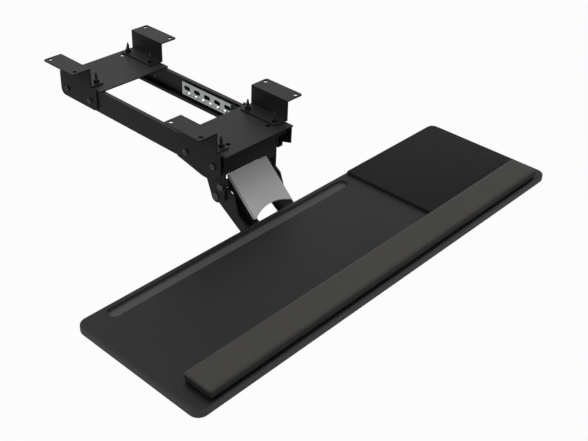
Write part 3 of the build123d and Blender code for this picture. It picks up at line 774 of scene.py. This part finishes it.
@dataclass
class LockKnob:
    """Fluted tilt-lock knob with a stepped boss.

    Attributes:
        workshop: Where the knob is finished.
        lobes: Number of flutes.
        steps: Points of a ring.
        flute: Full depth of a flute.
        edge: Rounding of the grip's edges.
        boss: Radius of the boss.
        boss_length: Length of the boss.
        dish: Depth of the dished outer face.
        sharp: Edges sharper than this many degrees stay sharp.
    """

    workshop: Workshop
    lobes: int = 10
    steps: int = 80
    flute: float = 1.1 * MM
    edge: float = 1.2 * MM
    boss: float = 6.0 * MM
    boss_length: float = 12.0 * MM
    dish: float = 0.8 * MM
    sharp: float = 40.0

    def outline(self, low: Vector, high: Vector) -> List[Ring]:
        """Rings from the root of the boss to the dished outer face.

        Args:
            low: Lowest corner of the knob's space.
            high: Highest corner of the knob's space.

        Returns:
            The rings; the numbers before the edge width shape the rounded rim.
        """
        reach = (high.z - low.z) / 2.0
        shoulder = low.x + self.boss_length
        return [
            Ring(low.x, self.boss, 0.0),
            Ring(shoulder, self.boss, 0.0),
            Ring(shoulder, reach - self.edge, 0.6),
            Ring(shoulder + self.edge, reach, 1.0),
            Ring(high.x - self.edge, reach, 1.0),
            Ring(high.x - 0.3 * self.edge, reach - 0.4 * self.edge, 0.9),
            Ring(high.x, reach - 1.6 * self.edge, 0.4),
            Ring(high.x - self.dish, reach - 3.4 * self.edge, 0.0),
        ]

    def add_ring(self, shape: Shape, ring: Ring, middle: Vector) -> List[bmesh.types.BMEdge]:
        """Add a ring and press its flutes in.

        Args:
            shape: The bmesh.
            ring: The ring.
            middle: Middle of the knob.

        Returns:
            The ring's edges.
        """
        centre = Vector((ring.x, middle.y, middle.z))
        made = bmesh.ops.create_circle(
            shape, cap_ends=False, segments=self.steps, radius=ring.radius,
            matrix=Matrix.Translation(centre) @ Matrix.Rotation(math.pi / 2.0, 4, "Y"),
        )
        for vert in made["verts"]:
            out = vert.co - centre
            turn = math.atan2(out.z, out.y)
            dip = ring.share * self.flute * max(0.0, math.cos(self.lobes * turn)) ** 2
            vert.co = centre + out.normalized() * (ring.radius - dip)
        return list(dict.fromkeys(edge for vert in made["verts"] for edge in vert.link_edges))

    def build(self) -> None:
        """Build the knob from rings that follow its flutes."""
        low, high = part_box("tilt_knob")
        middle = (low + high) / 2.0
        shape = bmesh.new()
        loops = [self.add_ring(shape, ring, middle) for ring in self.outline(low, high)]
        for first, second in zip(loops, loops[1:]):
            bmesh.ops.bridge_loops(shape, edges=first + second)
        ends = [edge for edge in shape.edges if edge.is_boundary]
        bmesh.ops.holes_fill(shape, edges=ends, sides=self.steps + 2)
        bmesh.ops.recalc_face_normals(shape, faces=shape.faces)
        self.workshop.place(mesh_of(shape, "lock_knob", self.sharp), "lock_knob", "tilt_knob")


@dataclass
class MousePad:
    """Cloth-faced foam pad with one rounded corner and a soft upper edge.

    Attributes:
        workshop: Where the pad is finished.
        corner: Radius of the far right corner.
        corner_steps: Segments of that corner.
        small_corner: Radius of the other corners.
        small_steps: Segments of the other corners.
        edge: Rounding of the upper edge.
        edge_steps: Segments of the upper edge.
        near: Edges closer than this to the upper face lie in it.
        fold: Least angle of an upper edge, in radians.
        sharp: Edges sharper than this many degrees stay sharp.
    """

    workshop: Workshop
    corner: float = 10.0 * MM
    corner_steps: int = 10
    small_corner: float = 1.5 * MM
    small_steps: int = 3
    edge: float = 1.3 * MM
    edge_steps: int = 4
    near: float = 0.01 * MM
    fold: float = 1.0
    sharp: float = 50.0

    def build(self) -> None:
        """Build the pad."""
        low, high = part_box("mouse_pad")
        shape = slab(low, high)
        uprights = [
            edge for edge in shape.edges
            if abs(edge.verts[0].co.z - edge.verts[1].co.z) > 0.5 * (high.z - low.z)
        ]
        far = [
            edge for edge in uprights
            if edge.verts[0].co.x > high.x - MM and edge.verts[0].co.y > high.y - MM
        ]
        others = [edge for edge in uprights if edge not in far]
        round_edges(shape, far, self.corner, self.corner_steps)
        round_edges(shape, [edge for edge in others if edge.is_valid], self.small_corner, self.small_steps)
        top = [
            edge for edge in shape.edges
            if min(vert.co.z for vert in edge.verts) > high.z - self.near and len(edge.link_faces) == 2
            and edge.calc_face_angle(0.0) > self.fold
        ]
        round_edges(shape, top, self.edge, self.edge_steps)
        piece = self.workshop.place(mesh_of(shape, "mouse_mat", self.sharp), "mouse_mat", "mouse_pad")


@dataclass
class PalmRest:
    """Foam rest in a soft skin: swelled by a short cloth run over its stiff strip.

    Attributes:
        workshop: Where the rest is finished.
        voxel: Width of the even faces the skin is cut into.
        edge: Rounding of the upper edges and ends.
        edge_steps: Segments of that rounding.
        upper: Edges that come this near to the top are rounded.
        inset: Room left at the sides for the swell.
        rise: Room left above for the swell.
        foot: Height of the skin that is held on the strip.
        pressure: Pressure inside the skin.
        stiff: Stiffness of the skin in its plane.
        bending: Stiffness of the skin against folds.
        mass: Mass of a point of the skin.
        quality: Steps of the cloth run in a frame.
        frames: Length of the cloth run.
        cap: Longest way a point may move in it.
        smoothing: Strength of the pass that evens the skin.
    """

    workshop: Workshop
    voxel: float = 1.9 * MM
    edge: float = 2.4 * MM
    edge_steps: int = 4
    upper: float = 3.0 * MM
    inset: float = 0.25 * MM
    rise: float = 0.6 * MM
    foot: float = 1.2 * MM
    pressure: float = 3.0
    stiff: float = 12.0
    bending: float = 2.0
    mass: float = 0.3
    quality: int = 6
    frames: int = 12
    cap: float = 0.8 * MM
    smoothing: float = 0.5

    def start_shape(self, low: Vector, high: Vector) -> bpy.types.Object:
        """Rounded bar that is a little smaller than the space of the solid.

        Args:
            low: Lowest corner of its space.
            high: Highest corner of its space.

        Returns:
            The bar.
        """
        margin = Vector((self.inset, self.inset, 0.0))
        shape = slab(low + margin, high - margin - Vector((0.0, 0.0, self.rise)))
        upper = [
            edge for edge in shape.edges if max(vert.co.z for vert in edge.verts) > high.z - self.upper
        ]
        round_edges(shape, upper, self.edge, self.edge_steps)
        thing = new_object("palm_rest_pad", mesh_of(shape, "palm_rest_pad"))
        remesh = thing.modifiers.new("even", "REMESH")
        remesh.mode = "VOXEL"
        remesh.voxel_size = self.voxel
        self.apply(thing)
        return thing

    def apply(self, thing: bpy.types.Object) -> None:
        """Write the object's modifiers into its mesh.

        Args:
            thing: The object.
        """
        bpy.context.view_layer.update()
        seen = thing.evaluated_get(bpy.context.evaluated_depsgraph_get())
        mesh = bpy.data.meshes.new_from_object(seen)
        thing.modifiers.clear()
        thing.data = mesh

    def swell(self, thing: bpy.types.Object, low: Vector) -> None:
        """Let the skin swell in a short cloth run, with its foot held and each move capped.

        Args:
            thing: The rest.
            low: Lowest corner of its space.
        """
        before = [vert.co.copy() for vert in thing.data.vertices]
        held = thing.vertex_groups.new(name="foot")
        foot = [vert.index for vert in thing.data.vertices if vert.co.z < low.z + self.foot]
        held.add(foot, 1.0, "REPLACE")
        cloth = thing.modifiers.new("skin", "CLOTH")
        cloth.settings.quality = self.quality
        cloth.settings.mass = self.mass
        cloth.settings.tension_stiffness = self.stiff
        cloth.settings.compression_stiffness = self.stiff
        cloth.settings.bending_stiffness = self.bending
        cloth.settings.use_pressure = True
        cloth.settings.uniform_pressure_force = self.pressure
        cloth.settings.vertex_group_mass = held.name
        cloth.settings.effector_weights.gravity = 0.0
        cloth.collision_settings.use_collision = False
        cloth.point_cache.frame_start = 1
        cloth.point_cache.frame_end = self.frames
        for number in range(1, self.frames + 1):
            bpy.context.scene.frame_set(number)
        self.apply(thing)
        for vert, start in zip(thing.data.vertices, before):
            step = vert.co - start
            if step.length > self.cap:
                vert.co = start + step * (self.cap / step.length)
        bpy.context.scene.frame_set(1)

    def build(self) -> None:
        """Build the rest."""
        low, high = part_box("palm_rest")
        thing = self.start_shape(low, high)
        self.swell(thing, low)
        shape = bmesh.new()
        shape.from_mesh(thing.data)
        bpy.data.objects.remove(thing)
        bmesh.ops.smooth_vert(
            shape, verts=shape.verts, factor=self.smoothing,
            use_axis_x=True, use_axis_y=True, use_axis_z=True,
        )
        for vert in shape.verts:
            vert.co = [min(max(value, least), most) for value, least, most in zip(vert.co, low, high)]
        mesh = mesh_of(shape, "padded_rest", smooth=180.0)
        piece = self.workshop.place(mesh, "padded_rest", "palm_rest")
        smooth = piece.modifiers.new("smooth", "SUBSURF")
        smooth.levels = 1
        smooth.render_levels = 1


class Lamp(NamedTuple):
    """Square soft lamp.

    Attributes:
        name: Name of the lamp.
        place: Where it hangs.
        size: Side of its face.
        power: Power in watts.
    """

    name: str
    place: Corner
    size: float
    power: float


@dataclass
class Studio:
    """Pale floor far below the tray, soft lights and the camera.

    Attributes:
        floor_drop: Depth of the floor below the desk's underside.
        floor_size: Side of the floor.
        floor_tone: How much light the floor sends back.
        floor_glow: Share of pure white that the camera sees on the floor.
        ambient: Light of the surroundings, where 1 is what the camera sees.
        lamps: The lamps.
        aim: Point the lamps face.
        camera_place: Where the camera stands.
        azimuth: Degrees the camera looks to the right of the track's direction.
        elevation: Degrees the camera looks down.
        roll: Degrees the camera leans.
        focal_pixels: Focal length in pixels of the photograph.
        picture_width: Width of the photograph in pixels.
        sensor: Width of the sensor in millimetres.
        clip: Nearest and farthest distance the camera sees.
    """

    floor_drop: float = 0.62
    floor_size: float = 60.0
    floor_tone: float = 0.86
    floor_glow: float = 0.95
    ambient: float = 0.28
    lamps: Tuple[Lamp, ...] = (
        Lamp("overhead", (-0.25, 0.35, 1.7), 1.8, 24.0),
        Lamp("front_fill", (-0.6, -2.0, 1.3), 1.4, 6.5),
    )
    aim: Corner = (0.0, -0.2, -0.1)
    camera_place: Corner = (-0.79681, -0.92926, 0.58285)
    azimuth: float = 49.0306
    elevation: float = 33.7785
    roll: float = 2.822
    focal_pixels: float = 970.6
    picture_width: float = 588.0
    sensor: float = 36.0
    clip: Span = (0.02, 200.0)

    def world(self) -> None:
        """White surroundings for the camera and for reflections, dimmer for the light they give."""
        world = bpy.data.worlds.new("studio")
        bpy.context.scene.world = world
        world.use_nodes = True
        tree = world.node_tree
        tree.nodes.clear()
        output = tree.nodes.new("ShaderNodeOutputWorld")
        glow = tree.nodes.new("ShaderNodeBackground")
        path = tree.nodes.new("ShaderNodeLightPath")
        clear = path.outputs["Is Camera Ray"]
        for ray in ("Is Glossy Ray", "Is Transmission Ray"):
            either = tree.nodes.new("ShaderNodeMath")
            either.operation = "MAXIMUM"
            tree.links.new(clear, either.inputs[0])
            tree.links.new(path.outputs[ray], either.inputs[1])
            clear = either.outputs["Value"]
        level = tree.nodes.new("ShaderNodeMapRange")
        level.inputs["To Min"].default_value = self.ambient
        level.inputs["To Max"].default_value = 1.0
        tree.links.new(clear, level.inputs["Value"])
        tree.links.new(level.outputs["Result"], glow.inputs["Strength"])
        glow.inputs["Color"].default_value = WHITE
        tree.links.new(glow.outputs["Background"], output.inputs["Surface"])

    def floor_material(self) -> bpy.types.Material:
        """Matt pale surface that glows white for the camera alone."""
        material = bpy.data.materials.new("floor_white")
        material.use_nodes = True
        tree = material.node_tree
        tree.nodes.clear()
        output = tree.nodes.new("ShaderNodeOutputMaterial")
        matt = tree.nodes.new("ShaderNodeBsdfDiffuse")
        matt.inputs["Color"].default_value = (self.floor_tone, self.floor_tone, self.floor_tone, 1.0)
        white = tree.nodes.new("ShaderNodeEmission")
        white.inputs["Color"].default_value = WHITE
        path = tree.nodes.new("ShaderNodeLightPath")
        share = tree.nodes.new("ShaderNodeMath")
        share.operation = "MULTIPLY"
        share.inputs[1].default_value = self.floor_glow
        tree.links.new(path.outputs["Is Camera Ray"], share.inputs[0])
        mix = tree.nodes.new("ShaderNodeMixShader")
        tree.links.new(share.outputs["Value"], mix.inputs["Fac"])
        tree.links.new(matt.outputs["BSDF"], mix.inputs[1])
        tree.links.new(white.outputs["Emission"], mix.inputs[2])
        tree.links.new(mix.outputs["Shader"], output.inputs["Surface"])
        return material

    def floor(self) -> None:
        """Large pale floor that keeps a faint soft shadow and looks white to the camera."""
        shape = bmesh.new()
        bmesh.ops.create_grid(
            shape, x_segments=4, y_segments=4, size=self.floor_size / 2.0,
            matrix=Matrix.Translation((0.0, 0.0, -self.floor_drop)),
        )
        plane = new_object("studio_floor", mesh_of(shape, "studio_floor"))
        plane.data.materials.append(self.floor_material())

    def hang(self, lamp: Lamp) -> None:
        """Hang a lamp that faces the tray.

        Args:
            lamp: The lamp.
        """
        data = bpy.data.lights.new(lamp.name, "AREA")
        data.shape = "SQUARE"
        data.size = lamp.size
        data.energy = lamp.power
        thing = new_object(lamp.name, data)
        away = Vector(lamp.place) - Vector(self.aim)
        turn = away.to_track_quat("Z", "Y").to_matrix().to_4x4()
        thing.matrix_world = Matrix.Translation(lamp.place) @ turn
        thing.visible_camera = False

    def camera_turn(self) -> Matrix:
        """The camera's rotation, from its azimuth, elevation and roll.

        Returns:
            The rotation as a 4 by 4 matrix.
        """
        azimuth, elevation, roll = (
            math.radians(angle) for angle in (self.azimuth, self.elevation, self.roll)
        )
        ahead = Vector((
            math.sin(azimuth) * math.cos(elevation),
            math.cos(azimuth) * math.cos(elevation),
            -math.sin(elevation),
        ))
        level = ahead.cross(Vector(UPWARDS)).normalized()
        above = level.cross(ahead)
        right = level * math.cos(roll) + above * math.sin(roll)
        up = above * math.cos(roll) - level * math.sin(roll)
        return Matrix((right, up, -ahead)).transposed().to_4x4()

    def camera(self) -> None:
        """Camera at the photograph's place, with its angle and lens."""
        data = bpy.data.cameras.new("camera")
        data.sensor_fit = "HORIZONTAL"
        data.sensor_width = self.sensor
        data.lens = self.focal_pixels / self.picture_width * self.sensor
        data.clip_start, data.clip_end = self.clip
        camera = new_object("camera", data)
        camera.matrix_world = Matrix.Translation(self.camera_place) @ self.camera_turn()
        bpy.context.scene.camera = camera

    def build(self) -> None:
        """Set up the studio."""
        bpy.context.scene.view_settings.view_transform = "Standard"
        self.camera()
        self.world()
        self.floor()
        for lamp in self.lamps:
            self.hang(lamp)


def main() -> None:
    """Build the studio and every piece."""
    logging.basicConfig(level=logging.INFO, format="%(name)s: %(message)s")
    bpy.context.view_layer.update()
    Studio().build()
    workshop = Workshop()
    workshop.dress_nodes()
    SoftSheets(workshop).build()
    LockKnob(workshop).build()
    MousePad(workshop).build()
    PalmRest(workshop).build()


if __name__ == "__main__":
    main()
